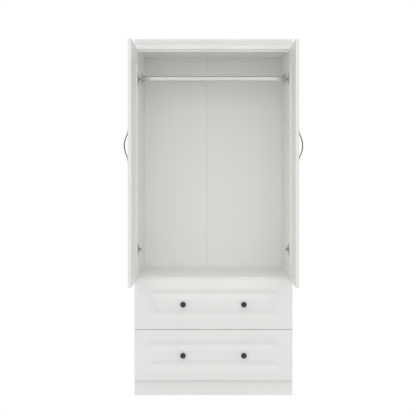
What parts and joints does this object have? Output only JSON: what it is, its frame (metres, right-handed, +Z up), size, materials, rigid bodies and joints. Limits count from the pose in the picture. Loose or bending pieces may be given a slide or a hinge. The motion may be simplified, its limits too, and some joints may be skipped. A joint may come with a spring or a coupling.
{
  "type": "wardrobe",
  "caption": "White wardrobe with hinged panelled doors on bow handles over a hanging space with a rail, and drawers with round knobs below, under a moulded cornice.",
  "frame": {"origin": "on the floor, under the middle of the box that the wardrobe fills with both doors open at 90 degrees", "axes": "+Z up, the front faces -Y, +X to the right as seen from the front"},
  "size_m": [0.8374, 0.91, 1.816],
  "materials": {
    "board": "white foil-wrapped fibreboard, satin, faint grain",
    "fronts": "white vinyl-wrapped routed fibreboard, satin, faint grain",
    "back_sheet": "white lacquered hardboard, matt",
    "dark_metal": "near-black satin lacquer",
    "rail_chrome": "bright chrome plate",
    "hinge_steel": "nickel-plated pressed steel",
    "runner_steel": "white powder coat",
    "fastener_steel": "zinc plate",
    "nylon": "white nylon",
    "strip_plastic": "white extruded plastic",
    "bumper": "soft milky silicone"
  },
  "bodies": {
    "carcass": {"back_joint_strip": "strip_plastic", "back_nails": "fastener_steel", "back_panel_left": "back_sheet", "back_panel_right": "back_sheet", "bottom_panel": "board", "cam_fasteners": "fastener_steel", "cornice": "fronts", "door_bumpers": "bumper", "fascia_rail": "board", "hanging_rail": "rail_chrome", "hinge_plate_screws": "fastener_steel", "left_hinge_arms": "hinge_steel", "left_hinge_plates": "hinge_steel", "left_rail_bracket": "rail_chrome", "left_side_panel": "board", "lower_cabinet_runners": "runner_steel", "plinth": "board", "rail_bracket_screws": "fastener_steel", "rear_plinth": "board", "right_hinge_arms": "hinge_steel", "right_hinge_plates": "hinge_steel", "right_rail_bracket": "rail_chrome", "right_side_panel": "board", "top_panel": "board", "upper_cabinet_runners": "runner_steel", "wall_bracket_screws": "fastener_steel", "wall_brackets": "fastener_steel", "wardrobe_floor": "board"},
    "left_door": {"left_door_panel": "fronts", "left_handle": "dark_metal", "left_handle_screws": "fastener_steel", "left_hinge_cups": "hinge_steel", "left_hinge_cup_screws": "fastener_steel"},
    "left_links": {"left_hinge_links": "hinge_steel"},
    "right_door": {"right_door_panel": "fronts", "right_handle": "dark_metal", "right_handle_screws": "fastener_steel", "right_hinge_cups": "hinge_steel", "right_hinge_cup_screws": "fastener_steel"},
    "right_links": {"right_hinge_links": "hinge_steel"},
    "upper_drawer": {"upper_drawer_front": "fronts", "upper_drawer_left_side": "board", "upper_drawer_right_side": "board", "upper_drawer_back": "board", "upper_drawer_bottom": "back_sheet", "upper_drawer_knobs": "dark_metal", "upper_drawer_knob_screws": "fastener_steel", "upper_drawer_runners": "runner_steel"},
    "upper_front_rollers": {"upper_cabinet_rollers": "nylon"},
    "upper_rear_rollers": {"upper_drawer_rollers": "nylon"},
    "lower_drawer": {"lower_drawer_front": "fronts", "lower_drawer_left_side": "board", "lower_drawer_right_side": "board", "lower_drawer_back": "board", "lower_drawer_bottom": "back_sheet", "lower_drawer_knobs": "dark_metal", "lower_drawer_knob_screws": "fastener_steel", "lower_drawer_runners": "runner_steel"},
    "lower_front_rollers": {"lower_cabinet_rollers": "nylon"},
    "lower_rear_rollers": {"lower_drawer_rollers": "nylon"}
  },
  "joints": [
    {"name": "left_door_hinge", "type": "hinge", "parent": "carcass", "child": "left_door", "pos_m": [-0.39325, -0.06325, 1.169], "axis": [0, 0, -1], "range_deg": [-90, 5]},
    {"name": "left_link_pivot", "type": "hinge", "parent": "carcass", "child": "left_links", "pos_m": [-0.367, -0.057, 1.169], "axis": [0, 0, -1], "range_deg": [-2, 19]},
    {"name": "right_door_hinge", "type": "hinge", "parent": "carcass", "child": "right_door", "pos_m": [0.39325, -0.06325, 1.169], "axis": [0, 0, 1], "range_deg": [-90, 5]},
    {"name": "right_link_pivot", "type": "hinge", "parent": "carcass", "child": "right_links", "pos_m": [0.367, -0.057, 1.169], "axis": [0, 0, 1], "range_deg": [-2, 19]},
    {"name": "upper_drawer_slide", "type": "slide", "parent": "carcass", "child": "upper_drawer", "axis": [0, -1, 0], "range_m": [0, 0.35]},
    {"name": "upper_front_roller_spin", "type": "hinge", "parent": "carcass", "child": "upper_front_rollers", "pos_m": [0, -0.036, 0.36825], "axis": [1, 0, 0], "continuous": true},
    {"name": "upper_rear_roller_spin", "type": "hinge", "parent": "upper_drawer", "child": "upper_rear_rollers", "pos_m": [0, 0.391, 0.36825], "axis": [1, 0, 0], "continuous": true},
    {"name": "lower_drawer_slide", "type": "slide", "parent": "carcass", "child": "lower_drawer", "axis": [0, -1, 0], "range_m": [0, 0.35]},
    {"name": "lower_front_roller_spin", "type": "hinge", "parent": "carcass", "child": "lower_front_rollers", "pos_m": [0, -0.036, 0.11125], "axis": [1, 0, 0], "continuous": true},
    {"name": "lower_rear_roller_spin", "type": "hinge", "parent": "lower_drawer", "child": "lower_rear_rollers", "pos_m": [0, 0.391, 0.11125], "axis": [1, 0, 0], "continuous": true}
  ],
  "couplings": [
    {"joint": "left_link_pivot", "follows": "left_door_hinge", "ratio": -0.204},
    {"joint": "right_link_pivot", "follows": "right_door_hinge", "ratio": -0.204},
    {"joint": "upper_front_roller_spin", "follows": "upper_drawer_slide", "rad_per_m": 125},
    {"joint": "upper_rear_roller_spin", "follows": "upper_drawer_slide", "rad_per_m": 125},
    {"joint": "lower_front_roller_spin", "follows": "lower_drawer_slide", "rad_per_m": 125},
    {"joint": "lower_rear_roller_spin", "follows": "lower_drawer_slide", "rad_per_m": 125}
  ]
}
